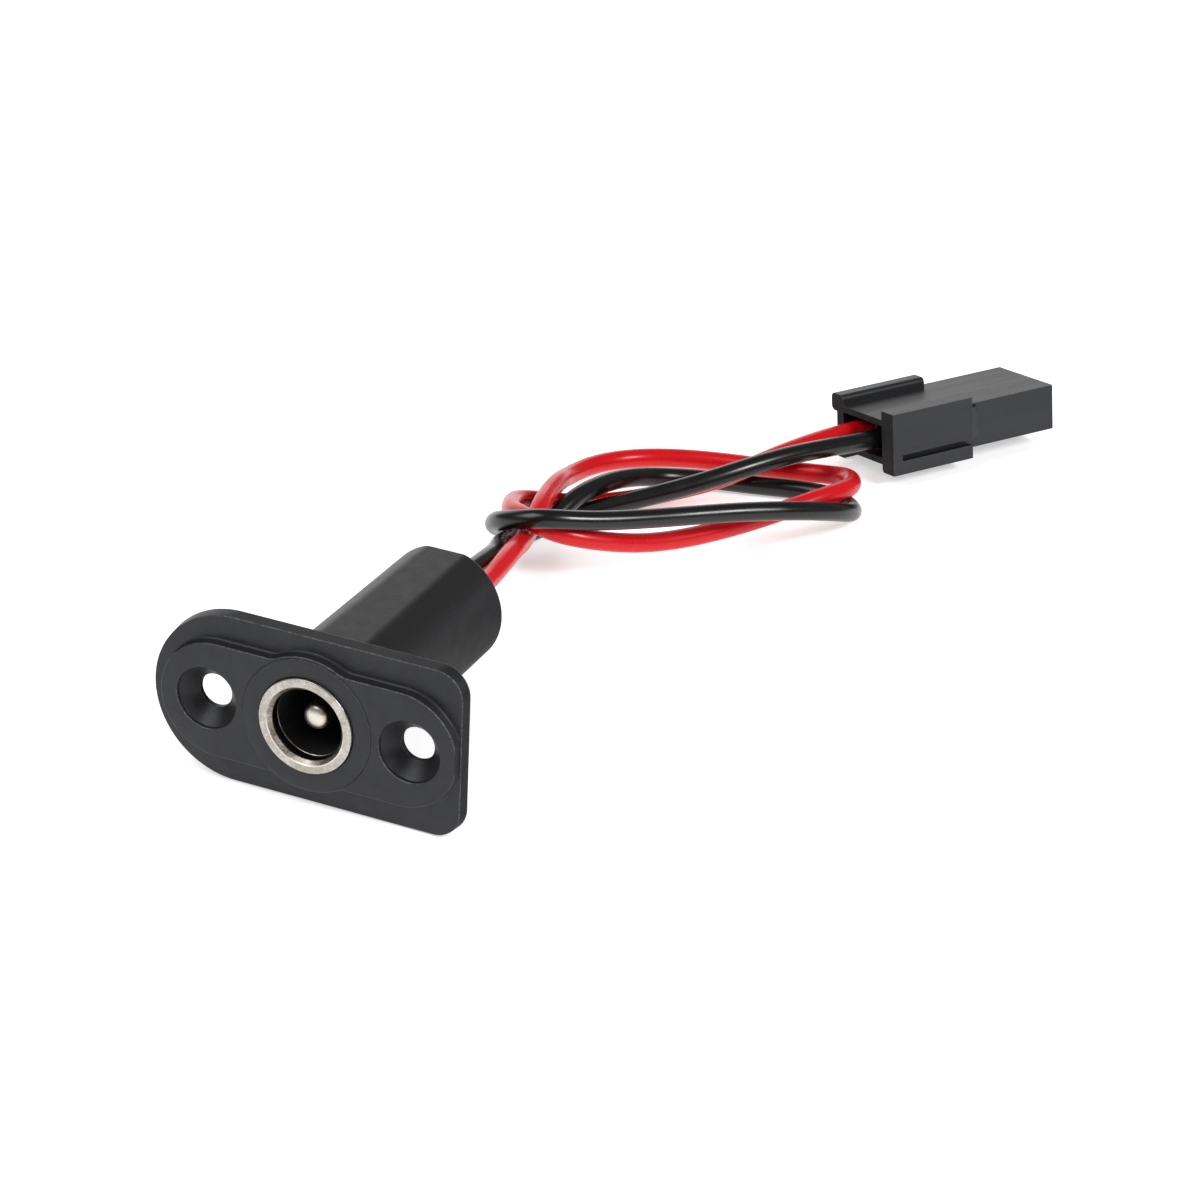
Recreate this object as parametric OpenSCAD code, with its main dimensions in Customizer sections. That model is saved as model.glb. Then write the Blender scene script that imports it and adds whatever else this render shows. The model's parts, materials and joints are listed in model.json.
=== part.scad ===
// Panel-mounted charging port: a flanged moulding with a round power jack,
// two wire leads and a two-way connector on their far end.
// The jack's axis is Y, the front faces -Y and Z is up.
// The origin is on that axis, at the flange's rear seat.

/* [Flange] */
// Height of the flange plate
flange_h = 14.4; // [12.6:0.2:18]
// Thickness of the flange plate
flange_t = 1.2; // [0.8:0.1:2.5]
// Corner radius at the square end
flange_corner_r = 2.4; // [0.6:0.1:4]
// Plate left beyond the pad at the round end
round_end_margin = 1.15; // [0.6:0.05:3]
// Plate left beyond the pad at the square end
square_end_margin = 0.1; // [0.05:0.05:3]

/* [Pad] */
// Height of the raised pad at its ends
pad_h = 9.7; // [8.4:0.1:10.6]
// Rise of the pad above the plate
pad_rise = 0.85; // [0.6:0.05:1.6]
// Pad left beyond the rim of a countersink
pad_end_wall = 1.4; // [0.8:0.1:3]
// Radius of the hollow blend between the pad's boss and its ends
pad_blend_r = 2; // [1:0.1:3]
// Fillet at the pad's foot
pad_foot_r = 0.2; // [0.1:0.05:0.55]
// Width of the boss around the metal ring
boss_w = 1.65; // [1.5:0.05:1.9]
// Ledge of the pad left around the boss
boss_ledge = 0.1; // [0.05:0.05:0.3]
// Rise of the boss above the pad
boss_rise = 0.06; // [0.02:0.02:0.6]

/* [Screw holes] */
// Distance between the two screw holes
screw_spacing = 17.5; // [17:0.1:24]
// Diameter of a screw hole
screw_hole_d = 2.8; // [2.2:0.1:3.4]
// Diameter of a countersink at its rim
sink_d = 5.2; // [4.4:0.1:5.6]
// Depth of the straight lip above the countersink's cone
sink_lip = 0.35; // [0.1:0.05:0.6]
// Full angle of the countersink's cone
sink_angle = 90; // [80:1:110]

/* [Barrel] */
// Length of the barrel behind the flange
barrel_l = 21.4; // [18:0.1:30]
// Wall of the barrel where it leaves the flange
barrel_wall = 0.98; // [0.9:0.02:2]
// Wall of the barrel at its two flats
flat_wall = 0.55; // [0.3:0.05:0.7]
// Draft of the barrel in degrees
barrel_draft = 0.4; // [0:0.1:0.8]
// Rounding of the barrel's tail edge
tail_edge_r = 0.3; // [0.1:0.05:0.5]
// Depth of the seal below the barrel's tail
seal_recess = 0.5; // [0.2:0.1:2]

/* [Jack] */
// Outer diameter of the bright ring
ring_d = 8; // [7:0.1:8.4]
// Diameter of the ring's mouth at its face
ring_mouth_d = 6.6; // [6.4:0.1:7]
// Depth of the bevel inside the ring's mouth
ring_bevel = 0.4; // [0.2:0.05:0.8]
// Depth of the liner's front edge below the ring's face
liner_depth = 0.97; // [0.85:0.01:2]
// Stand of the ring's face above the boss
ring_proud = 0.24; // [0:0.02:0.5]
// Diameter of the socket
socket_d = 5.9; // [5.6:0.1:6.2]
// Depth of the socket from the ring's face
socket_depth = 9.35; // [8.5:0.05:11]
// Wall of the black liner in the socket
liner_wall = 0.48; // [0.4:0.02:0.5]
// Thickness of the socket's floor
floor_t = 1.6; // [1:0.1:2.4]
// Depth behind the seat of the step that the jack stops against
shoulder_depth = 1; // [0.5:0.1:3]
// Width of that step
shoulder_w = 0.3; // [0.2:0.05:0.4]
// Clearance all round between fitted pieces
fit = 0.02; // [0.01:0.01:0.05]

/* [Pin and spring] */
// Diameter of the centre pin
pin_d = 2.1; // [1.8:0.1:2.4]
// Depth of the pin's tip below the ring's face
pin_tip_depth = 1.45; // [0.5:0.05:3]
// Height of the dome on the pin's tip
pin_dome = 0.5; // [0.3:0.05:0.8]
// Step of the pin's root where it passes through the socket's floor
root_w = 0.25; // [0.2:0.05:0.35]
// Step of the collar behind the socket's floor
collar_w = 0.2; // [0.1:0.05:0.3]
// Thickness of that collar
collar_t = 0.6; // [0.4:0.1:1]
// Diameter of the pin's solder tail
tail_d = 1; // [0.8:0.1:1.4]
// Length of the solder tails behind the socket's floor
tail_l = 3.4; // [2:0.1:5]
// Width of the spring leaf
leaf_w = 1.6; // [1.2:0.1:2]
// Thickness of the spring's sheet
leaf_t = 0.25; // [0.2:0.05:0.3]
// Length of the leaf in front of the socket's floor
leaf_l = 4.8; // [4:0.1:6]
// Distance of the leaf's crest from the socket's floor
leaf_crest_at = 3; // [2:0.1:3.6]
// Straight length of the leaf at its root
leaf_root_l = 0.8; // [0.4:0.1:1.6]
// Dip of the leaf's bend towards the socket's axis
leaf_bend = 0.55; // [0.3:0.05:0.7]
// Room under the leaf where it passes over the socket's floor
leaf_room = 0.15; // [0.05:0.05:0.3]
// Width of the spring's solder tab
tab_w = 0.8; // [0.6:0.1:1]
// Thickness of the spring's folded solder tab
tab_t = 0.5; // [0.4:0.05:0.7]
// Height of the solder tab above the jack's axis
tab_z = 0.7; // [0.5:0.05:0.9]
// Gap between the solder tab and the pin's collar
tab_gap = 0.1; // [0.05:0.05:0.3]

/* [Wires] */
// Diameter of a wire over its insulation
wire_d = 1.7; // [1.4:0.05:1.8]
// Distance between the two wires at the barrel's tail
wire_spacing = 2; // [1.9:0.1:2.6]
// Length of a solder joint
solder_l = 0.6; // [0.4:0.1:1.2]
// Diameter of a solder joint at its waist
solder_d = 1.5; // [1.3:0.1:1.6]
// Diameter of a solder joint at its ends
solder_end_d = 1.2; // [1:0.1:1.3]
// Straight length of a wire behind the barrel's tail
wire_lead = 3; // [2:0.1:3.4]
// Bare gap between the solder joints and the seal
seal_gap = 0.4; // [0.2:0.1:1]

/* [Connector] */
// Length of the connector
plug_l = 18.7; // [17:0.1:24]
// Length of its rear body with the side walls
plug_body_l = 8.9; // [8.4:0.1:12]
// Width of its nose
plug_w = 8; // [7.8:0.1:9.4]
// Height of its nose
plug_h = 4.2; // [4:0.1:5.5]
// Stand of the near wall above the nose
wall_stand = 0.85; // [0.4:0.05:1.4]
// Drop of the near wall below the nose
near_drop = 0.75; // [0.4:0.05:0.9]
// Drop of the far wall below the nose
far_drop = 0.8; // [0.4:0.05:1.4]
// Stand of the side walls beside the nose
wall_side = 0.8; // [0.4:0.05:1.4]
// Width of the open cavity at the rear
cavity_w = 6; // [5.8:0.1:6.4]
// Height of the open cavity at the rear
cavity_h = 3; // [2.6:0.1:3.4]
// Depth of the open cavity at the rear
cavity_depth = 7.6; // [7.3:0.1:8.2]
// Thickness of the rib that parts the cavity
rib_t = 0.55; // [0.4:0.05:0.8]
// Height of the slot in the near wall
slot_h = 0.6; // [0.3:0.05:0.9]
// Depth of the slot into the near wall
slot_depth = 0.75; // [0.4:0.05:0.9]
// Wall left closed at the rear end of the slot
slot_stop = 1; // [0.6:0.1:2]
// Height of the bar below the slot
bar_h = 1.25; // [1:0.05:1.6]
// Rounding of the near wall's lower inner edge
wall_edge_r = 0.35; // [0.1:0.05:0.6]
// Length of the ramp from the near wall down to the nose
ramp_l = 1.2; // [0.6:0.1:3]
// Drop of the ramp's top below the nose's top
ramp_drop = 0.25; // [0.1:0.05:0.6]
// Length of the rail on the far wall
rail_l = 9.2; // [8:0.1:12]
// Height of that rail
rail_h = 1.65; // [1.1:0.05:2]
// Stand of that rail above the nose
rail_stand = 0.95; // [0.6:0.05:1.4]
// Rounding of that rail
rail_r = 0.45; // [0.2:0.05:0.5]

/* [Contacts] */
// Distance between the two contacts
contact_spacing = 3.4; // [3.2:0.1:3.5]
// Width of the square channel that holds a contact
channel_w = 2.4; // [2.3:0.1:2.6]
// Clearance all round a contact in its channel
contact_gap = 0.08; // [0.04:0.02:0.12]
// Sheet thickness of a contact
sheet_t = 0.25; // [0.2:0.05:0.3]
// Depth of the contacts below the nose's face
contact_recess = 0.8; // [0.4:0.1:2]
// Distance from the connector's rear end to the crimps
crimp_at = 4.4; // [4:0.1:4.6]
// Length of a crimp
crimp_l = 2.8; // [2:0.1:2.9]
// Depth of a contact's box inside its channel
box_setback = 1.2; // [0.6:0.1:3]
// Length of a wire's end inside its crimp
crimp_grip = 2; // [1:0.1:2]

/* [Hidden] */
$fn = 64;
// Overlap that lets a cut run clear of a face
past = 1;

// Radii about the jack's axis
ring_r = ring_d / 2;
boss_r = ring_r + boss_w;
pad_round_r = boss_r + boss_ledge;
jack_body_r = ring_r + shoulder_w;
front_bore_r = ring_r + fit;
rear_bore_r = jack_body_r + fit;
barrel_r = rear_bore_r + barrel_wall;
flat_z = rear_bore_r + flat_wall;
socket_r = socket_d / 2;
liner_r = socket_r + liner_wall;
shell_inner_r = liner_r + fit;
pin_r = pin_d / 2;
pin_root_r = pin_r - root_w;
collar_r = pin_r + collar_w;

// Places along the jack's axis
pad_face = -flange_t - pad_rise;
boss_face = pad_face - boss_rise;
ring_face = boss_face - ring_proud;
liner_front = ring_face + liner_depth;
floor_front = ring_face + socket_depth;
jack_back = floor_front + floor_t;
solder_front = jack_back + tail_l;
wire_start = solder_front + solder_l;
seal_front = wire_start + seal_gap;
seal_back = barrel_l - seal_recess;

// Outline of the flange and its pad
screw_x = screw_spacing / 2;
pad_reach = screw_x + sink_d / 2 + pad_end_wall;
pad_end_x = pad_reach - pad_h / 2;
round_end_x = -(pad_reach + round_end_margin - flange_h / 2);
square_end = pad_reach + square_end_margin;
// The hollow blends bite this far into what they join, so that the surfaces cross
blend_bite = 0.03;
blend_z = pad_h / 2 + pad_blend_r - blend_bite;
blend_x = sqrt(pow(pad_round_r + pad_blend_r - blend_bite, 2) - pow(blend_z, 2));

// Spring leaf at the top of the socket, and its tab beside the pin's tail
leaf_z = sqrt(pow(liner_r, 2) - pow(leaf_w / 2, 2)) - fit;
leaf_front = floor_front - leaf_l;
leaf_crest = floor_front - leaf_crest_at;
leaf_root = floor_front - leaf_root_l;
leaf_slot_w = leaf_w + 4 * fit;
leaf_slot_z = leaf_z - leaf_t - leaf_room;
tab_x = -collar_r - tab_gap - tab_w / 2;

// Connector: its resting place beside the port, on the flange's level
rest_z = -flange_h / 2;
plug_turn = 56.8;
plug_roll = -9.4;
plug_at = [14.98, 76.38, rest_z + far_drop * cos(plug_roll) - plug_w / 2 * sin(plug_roll)];
plug_mid = plug_h / 2;
wall_out = plug_w / 2 + wall_side;
wall_in = cavity_w / 2;
contact_w = channel_w - 2 * contact_gap;
crimp_bore_r = wire_d / 2 + fit;
crimp_r = crimp_bore_r + sheet_t;
contact_front = plug_l - contact_recess;
box_at = cavity_depth + box_setback;

// Route of each wire between the barrel's tail and the connector
wire_sides = 8;
wire_x = wire_spacing / 2;
// Places of a wire along the connector: before its mouth, inside it and in the crimp
plug_steps = [-1, 2.5, crimp_at + crimp_grip];
red_route = [
    [0.5, 28, -1], [0, 34, -0.5], [-2, 39.5, -3], [-3.25, 43.5, -4], [-3.75, 47, -3],
    [-4.75, 50.5, -3.5], [-5.5, 54.5, -4], [-6.75, 59, -5.75], [-6.25, 63, -6],
    [-4, 66.5, -6.25], [-0.75, 68.5, -6.25], [3.5, 70, -6.25], [8.75, 71, -6.25],
    [12.25, 72, -6.25], [15.5, 71.25, -5.5], [17, 68.5, -4.5], [17.75, 66, -4],
    [16.25, 62.5, -3.75], [12.5, 57.5, -4.75], [9, 52.25, -5], [5.75, 47.25, -4.5],
    [2.25, 42.5, -2.75], [-0.5, 41.25, -2], [-3, 42, -1.5], [-5.25, 44.25, -2.5],
    [-6.75, 47.5, -3.75], [-7.75, 50.25, -4.5], [-7.25, 53.25, -5.75], [-4.5, 55, -6.25],
    [-0.5, 57.75, -6.25], [3, 61.25, -5.75], [6.5, 64.5, -5], [9, 68.5, -4],
    [11.25, 73, -3.75]
];
black_route = [
    [-1.75, 28, -0.75], [-1.75, 34.5, -1.5], [-4, 39.5, -3.5], [-5, 42.5, -4.75], [-5, 46, -5.5],
    [-4, 49, -6], [-3, 52.25, -4], [-2, 57, -4.25], [-1, 60.5, -5], [0.25, 63.75, -6],
    [4.25, 66, -6.25], [8, 66.75, -6.25], [12.75, 68.25, -6.25], [16, 68.25, -6.25],
    [18.25, 66.25, -6.25], [18.75, 63.25, -5], [18, 60.25, -3.75], [15.75, 56.75, -2.75],
    [12.25, 53.25, -2.25], [8.5, 49.5, -2], [5.75, 46, -1.5], [2.5, 42.5, -1],
    [-0.25, 40, -0.25], [-3.5, 40, -1.25], [-5.5, 41.75, -2.5], [-6.75, 44, -4.25],
    [-6.75, 47.25, -6], [-5.75, 51.75, -6.25], [-2.5, 54.25, -6.25], [1, 56.75, -5.25],
    [5, 60, -4.25], [8, 62.75, -3.25], [11, 67, -2.75], [13.25, 70.75, -3]
];

// A point given along, across and up the connector
function plug_point(p) =
    let (up = p.z * cos(plug_roll) + p.y * sin(plug_roll),
         across = p.y * cos(plug_roll) - p.z * sin(plug_roll))
    plug_at + [p.x * cos(plug_turn) - across * sin(plug_turn),
               p.x * sin(plug_turn) + across * cos(plug_turn),
               up];

// Straight out of the tail, along the route, and straight into the connector
function wire_points(x, route, across) = concat(
    [for (y = [wire_start, barrel_l, barrel_l + wire_lead]) [x, y, 0]],
    route,
    [for (s = plug_steps) plug_point([s, across, plug_mid])]);

// Centre and direction of the smooth curve at one of its points
function eased(p, i) =
    (i == 0 || i == len(p) - 1) ? p[i] : (p[i - 1] + 4 * p[i] + p[i + 1]) / 6;
function heading(p, i) =
    let (d = p[min(i + 1, len(p) - 1)] - p[max(i - 1, 0)]) d / norm(d);

// One ring of corners square to the curve
function ring_of(c, t, r, n) =
    let (side = cross(t, [0, 0, 1]), u = side / norm(side), v = cross(u, t))
    [for (k = [0:n - 1]) c + r * (cos(360 * k / n) * u + sin(360 * k / n) * v)];

module along_y() {
    rotate([-90, 0, 0]) children();
}

// A round solid about the jack's axis, from points of radius and place along Y
module turned(points) {
    along_y() rotate_extrude() polygon(points);
}

module drilled(r, from, to) {
    translate([0, from, 0]) along_y() cylinder(r = r, h = to - from);
}

module in_plug() {
    translate(plug_at) rotate([0, 0, plug_turn]) rotate([plug_roll, 0, 0]) children();
}

// A block in the connector's frame, from its low corner to its high one
module block(low, high) {
    translate(low) cube(high - low);
}

module tube(p, d) {
    n = wire_sides;
    rings = len(p);
    corners = [for (i = [0:rings - 1]) each ring_of(eased(p, i), heading(p, i), d / 2, n)];
    sides = [for (i = [0:rings - 2], k = [0:n - 1])
        let (a = i * n + k, b = i * n + (k + 1) % n)
        each [[a, b, b + n], [a, b + n, a + n]]];
    start = [[for (k = [n - 1:-1:0]) k]];
    end = [[for (k = [0:n - 1]) (rings - 1) * n + k]];
    polyhedron(points = corners, faces = concat(sides, start, end));
}

module flange_outline() {
    corner_x = square_end - flange_corner_r;
    corner_y = flange_h / 2 - flange_corner_r;
    translate([round_end_x, 0]) circle(r = flange_h / 2);
    translate([round_end_x, -flange_h / 2]) square([corner_x - round_end_x, flange_h]);
    translate([corner_x, -corner_y]) square([flange_corner_r, 2 * corner_y]);
    for (side = [-1, 1]) translate([corner_x, side * corner_y]) circle(r = flange_corner_r);
}

// Section of the pad's edge at a radius: a fillet at the foot, then an upright wall
function foot_arc(r, turn) = [for (a = [0:15:90])
    [r + turn * pad_foot_r * (1 - sin(a)), pad_foot_r * (1 - cos(a))]];
function pad_section(r) = concat([[0, 0]], foot_arc(r, 1), [[r, pad_rise], [0, pad_rise]]);

// Straight bar of the pad with its two round ends
module pad_bar() {
    for (side = [0, 1]) mirror([0, side, 0])
        translate([pad_end_x, 0, 0]) rotate([90, 0, -90]) linear_extrude(2 * pad_end_x)
            mirror([1, 0, 0]) polygon(pad_section(pad_h / 2));
    for (side = [0, 180]) rotate([0, 0, side]) translate([pad_end_x, 0, 0])
        rotate([0, 0, -90]) rotate_extrude(angle = 180) polygon(pad_section(pad_h / 2));
}

// Hollow blend between the round middle and the bar
module pad_blend() {
    section = concat([[0, -past], [pad_blend_r - pad_foot_r, -past]], foot_arc(pad_blend_r, -1),
                     [[pad_blend_r, pad_rise + past], [0, pad_rise + past]]);
    translate([blend_x, blend_z, 0]) rotate_extrude() polygon(section);
}

module pad() {
    difference() {
        intersection() {
            union() {
                rotate_extrude() polygon(pad_section(pad_round_r));
                pad_bar();
                // Webs that the blends are hollowed from
                for (side = [-1, 1]) linear_extrude(pad_rise)
                    polygon([[0, 0], [side * blend_x, blend_z], [side * blend_x, -blend_z]]);
            }
            translate([0, 0, -past]) linear_extrude(pad_rise + 2 * past) flange_outline();
        }
        for (side = [0, 1], edge = [0, 1]) mirror([side, 0, 0]) mirror([0, edge, 0]) pad_blend();
    }
}

module screw_hole() {
    sink_depth = (sink_d - screw_hole_d) / 2 / tan(sink_angle / 2);
    drilled(screw_hole_d / 2, pad_face - past, past);
    drilled(sink_d / 2, pad_face - past, pad_face + sink_lip);
    translate([0, pad_face + sink_lip, 0]) along_y()
        cylinder(r1 = sink_d / 2, r2 = screw_hole_d / 2, h = sink_depth);
}

module barrel() {
    tail_r = barrel_r - barrel_l * tan(barrel_draft);
    edge = [for (a = [0:22.5:90])
        [tail_r - tail_edge_r * (1 - cos(a)), barrel_l - tail_edge_r * (1 - sin(a))]];
    difference() {
        turned(concat([[0, -flange_t / 2], [barrel_r, -flange_t / 2], [barrel_r, 0]],
                      edge, [[0, barrel_l]]));
        for (side = [0, 1]) mirror([0, 0, side])
            translate([-barrel_r, 0, flat_z]) cube([2 * barrel_r, barrel_l + past, barrel_r]);
    }
}

module flange_housing() {
    color("#3a3b3d") difference() {
        union() {
            translate([0, -flange_t, 0]) along_y() linear_extrude(flange_t) flange_outline();
            translate([0, -flange_t, 0]) rotate([90, 0, 0]) pad();
            drilled(boss_r, boss_face, pad_face);
            barrel();
        }
        drilled(front_bore_r, boss_face - past, shoulder_depth + past);
        drilled(rear_bore_r, shoulder_depth, barrel_l + past);
        for (side = [-1, 1]) translate([side * screw_x, 0, 0]) screw_hole();
    }
}

module jack_shell() {
    color("#cfcac0") turned([
        [ring_mouth_d / 2, ring_face], [ring_r, ring_face], [ring_r, shoulder_depth],
        [jack_body_r, shoulder_depth], [jack_body_r, jack_back], [shell_inner_r, jack_back],
        [shell_inner_r, liner_front], [socket_r + fit, liner_front],
        [socket_r + fit, ring_face + ring_bevel]
    ]);
}

module jack_insulator() {
    color("#151515") difference() {
        turned([
            [socket_r, liner_front], [liner_r, liner_front], [liner_r, jack_back],
            [pin_root_r + fit, jack_back], [pin_root_r + fit, floor_front],
            [socket_r, floor_front]
        ]);
        // Slot for the spring leaf, through the liner and over the floor
        block([-leaf_slot_w / 2, leaf_front - fit, pin_r],
              [leaf_slot_w / 2, floor_front, liner_r + past]);
        block([-leaf_slot_w / 2, leaf_front - fit, leaf_slot_z],
              [leaf_slot_w / 2, jack_back + past, liner_r + past]);
    }
}

module centre_pin() {
    tip = ring_face + pin_tip_depth;
    dome = [for (a = [0:15:90]) [pin_r * sin(a), tip + pin_dome * (1 - cos(a))]];
    color("#d8d4cb") turned(concat(dome, [
        [pin_r, floor_front], [pin_root_r, floor_front], [pin_root_r, jack_back],
        [collar_r, jack_back], [collar_r, jack_back + collar_t],
        [tail_d / 2, jack_back + collar_t], [tail_d / 2, solder_front], [0, solder_front]
    ]));
}

module contact_spring() {
    over = [[leaf_front, leaf_z], [leaf_crest, leaf_z - leaf_bend], [leaf_root, leaf_z],
            [jack_back + leaf_t, leaf_z]];
    under = [for (i = [len(over) - 1:-1:0]) over[i] - [0, leaf_t]];
    color("#c9b27a") {
        // Leaf along the socket
        translate([-leaf_w / 2, 0, 0]) rotate([90, 0, 90]) linear_extrude(leaf_w)
            polygon(concat(over, under));
        // Foot and drop against the jack's back
        block([tab_x - tab_w / 2, jack_back, leaf_z - leaf_t],
              [leaf_w / 2, jack_back + leaf_t, leaf_z]);
        block([tab_x - tab_w / 2, jack_back, tab_z - tab_t / 2],
              [tab_x + tab_w / 2, jack_back + leaf_t, leaf_z]);
        // Solder tab
        block([tab_x - tab_w / 2, jack_back, tab_z - tab_t / 2],
              [tab_x + tab_w / 2, solder_front, tab_z + tab_t / 2]);
    }
}

module solder_joint(x, z) {
    color("#b9b9b4") translate([x, 0, z]) turned([
        [0, solder_front], [solder_end_d / 2, solder_front],
        [solder_d / 2, solder_front + solder_l / 2],
        [solder_end_d / 2, wire_start], [0, wire_start]
    ]);
}

module red_solder_joint() {
    solder_joint(wire_x / 2, 0);
}

module black_solder_joint() {
    solder_joint((tab_x - wire_x) / 2, tab_z / 2);
}

module rear_seal() {
    color("#222222") difference() {
        drilled(rear_bore_r, seal_front, seal_back);
        for (side = [-1, 1]) translate([side * wire_x, 0, 0])
            drilled(wire_d / 2 + fit, seal_front - past, seal_back + past);
    }
}

module red_wire() {
    color("#d8141c") tube(wire_points(wire_x, red_route, contact_spacing / 2), wire_d);
}

module black_wire() {
    color("#1b1c1e") tube(wire_points(-wire_x, black_route, -contact_spacing / 2), wire_d);
}

// Section of the far rail, round on its three free edges
module rail_section() {
    top = plug_h + rail_stand;
    low = top - rail_h;
    w = wall_out - wall_in;
    translate([wall_in, low]) square([w - rail_r, rail_h - rail_r]);
    translate([wall_in, low + rail_r]) square([w, rail_h - 2 * rail_r]);
    translate([wall_in + rail_r, low]) square([w - 2 * rail_r, rail_h]);
    for (centre = [[wall_in + rail_r, top - rail_r], [wall_out - rail_r, top - rail_r],
                   [wall_out - rail_r, low + rail_r]])
        translate(centre) circle(r = rail_r);
}

// Section of the near wall, round on its lower inner edge
module near_wall_section() {
    w = wall_out - wall_in;
    round_low = wall_edge_r - near_drop;
    translate([-wall_out, round_low]) square([w, plug_h + wall_stand - round_low]);
    translate([-wall_out, -near_drop]) square([w - wall_edge_r, plug_h]);
    translate([-wall_in - wall_edge_r, round_low]) circle(r = wall_edge_r);
}

// Near wall with its slot, and the ramp that leads from it down to the nose's side
module near_wall() {
    slot_low = bar_h - near_drop;
    slot_top = slot_low + slot_h;
    difference() {
        rotate([90, 0, 90]) linear_extrude(plug_body_l) near_wall_section();
        block([slot_stop, -wall_out - past, slot_low],
              [plug_body_l + past, -wall_out + slot_depth, slot_top]);
    }
    translate([0, 0, slot_top]) linear_extrude(plug_h - ramp_drop - slot_top)
        polygon([[plug_body_l - ramp_l, -wall_in], [plug_body_l, -wall_out],
                 [plug_body_l + ramp_l, -plug_w / 2], [plug_body_l + ramp_l, -wall_in]]);
}

module plug_housing() {
    cavity_low = plug_mid - cavity_h / 2;
    color("#37383a") in_plug() difference() {
        union() {
            // Nose and core
            block([0, -plug_w / 2, 0], [plug_l, plug_w / 2, plug_h]);
            near_wall();
            // Far wall with its rail
            block([0, wall_in, -far_drop], [plug_body_l, plug_w / 2, plug_mid]);
            rotate([90, 0, 90]) linear_extrude(rail_l) rail_section();
        }
        // Cavity, parted by a rib, and the channels in front of it
        for (side = [0, 1]) mirror([0, side, 0])
            block([-past, rib_t / 2, cavity_low], [cavity_depth, wall_in, cavity_low + cavity_h]);
        for (side = [-1, 1]) translate([0, side * contact_spacing / 2, plug_mid])
            block([cavity_depth - past, -channel_w / 2, -channel_w / 2],
                  [plug_l + past, channel_w / 2, channel_w / 2]);
    }
}

module contact(across) {
    half = contact_w / 2;
    inner = half - sheet_t;
    color("#cdbb8c") in_plug() translate([0, across, plug_mid]) {
        // Crimp around the wire
        translate([crimp_at, 0, 0]) rotate([0, 90, 0]) difference() {
            cylinder(r = crimp_r, h = crimp_l);
            translate([0, 0, -past]) cylinder(r = crimp_bore_r, h = crimp_l + 2 * past);
        }
        // Neck below the wire
        block([crimp_at + crimp_l - sheet_t, -crimp_bore_r / 2, -crimp_r],
              [box_at + sheet_t, crimp_bore_r / 2, -crimp_r + sheet_t]);
        // Square box that takes the mating blade
        difference() {
            block([box_at, -half, -half], [contact_front, half, half]);
            block([box_at - past, -inner, -inner], [contact_front + past, inner, inner]);
        }
    }
}

module red_contact() {
    contact(contact_spacing / 2);
}

module black_contact() {
    contact(-contact_spacing / 2);
}

flange_housing();
jack_shell();
jack_insulator();
centre_pin();
contact_spring();
red_solder_joint();
black_solder_joint();
rear_seal();
red_wire();
black_wire();
plug_housing();
red_contact();
black_contact();
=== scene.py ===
import json
from math import acos, atan2, ceil, cos, pi, radians, sin, sqrt, tan

import bmesh
import bpy
from bpy.props import FloatProperty, FloatVectorProperty, PointerProperty
from mathutils import Matrix, Vector


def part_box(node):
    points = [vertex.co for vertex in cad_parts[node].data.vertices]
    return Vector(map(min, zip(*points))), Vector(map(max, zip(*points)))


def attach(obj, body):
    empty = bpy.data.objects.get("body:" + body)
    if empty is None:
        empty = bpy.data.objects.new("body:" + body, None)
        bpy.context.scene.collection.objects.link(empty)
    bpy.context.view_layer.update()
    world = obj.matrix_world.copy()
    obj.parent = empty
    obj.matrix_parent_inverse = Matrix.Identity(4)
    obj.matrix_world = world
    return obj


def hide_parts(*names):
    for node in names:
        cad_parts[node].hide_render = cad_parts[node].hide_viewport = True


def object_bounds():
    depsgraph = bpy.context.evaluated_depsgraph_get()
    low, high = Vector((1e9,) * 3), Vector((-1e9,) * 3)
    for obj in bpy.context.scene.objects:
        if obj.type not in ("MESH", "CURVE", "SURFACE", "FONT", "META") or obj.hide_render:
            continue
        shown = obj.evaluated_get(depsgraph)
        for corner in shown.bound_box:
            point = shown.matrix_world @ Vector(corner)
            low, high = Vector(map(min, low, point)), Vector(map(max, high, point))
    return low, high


bl_info = {
    "name": "Scooter Charging Port",
    "version": (1, 0, 0),
    "blender": (4, 5, 0),
    "location": "3D View > Sidebar > Charging Port",
    "description": "Dresses a panel-mount charging port with its two wire leads and connector",
    "category": "Object",
}

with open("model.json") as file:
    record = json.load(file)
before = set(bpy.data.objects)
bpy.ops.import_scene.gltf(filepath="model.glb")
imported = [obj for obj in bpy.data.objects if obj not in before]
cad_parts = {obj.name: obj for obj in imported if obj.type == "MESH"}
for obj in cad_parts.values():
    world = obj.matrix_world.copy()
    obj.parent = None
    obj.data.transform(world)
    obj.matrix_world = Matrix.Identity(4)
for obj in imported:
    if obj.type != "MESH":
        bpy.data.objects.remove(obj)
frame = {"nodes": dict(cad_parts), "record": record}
CAD_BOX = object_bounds()

MM = 0.001
BODY = "root"
# Points nearer to each other than this are one point
MERGE = 0.001 * MM
# Widest step of a rounded edge and of an outline
ARC_STEP = radians(15)
OUTLINE_STEP = radians(3)
# Angles above which an edge is shaded sharp or gets rounded, and below which it is flat
SHARP_ANGLE = radians(26)
HARD_EDGE = radians(25)
NEARLY_FLAT = radians(1)
# Steps of a full turn
ROUND_STEPS = 96
# Names of the shares of painted edge highlight and of dullness kept at each point of a moulding
HIGHLIGHT_SHARE = "painted_highlight"
DULL = "dull"
# How wide a strip with a painted highlight can be, and the side the light falls from, whose edges
# get the most painted highlight
NARROW = 0.1 * MM
LIT_SIDE = Vector((0.7, 0, 1))
# How squarely a face looks one way where it starts to be dull and where it is fully dull
DULL_FROM = 0.75
DULL_FULL = 0.95
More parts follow.
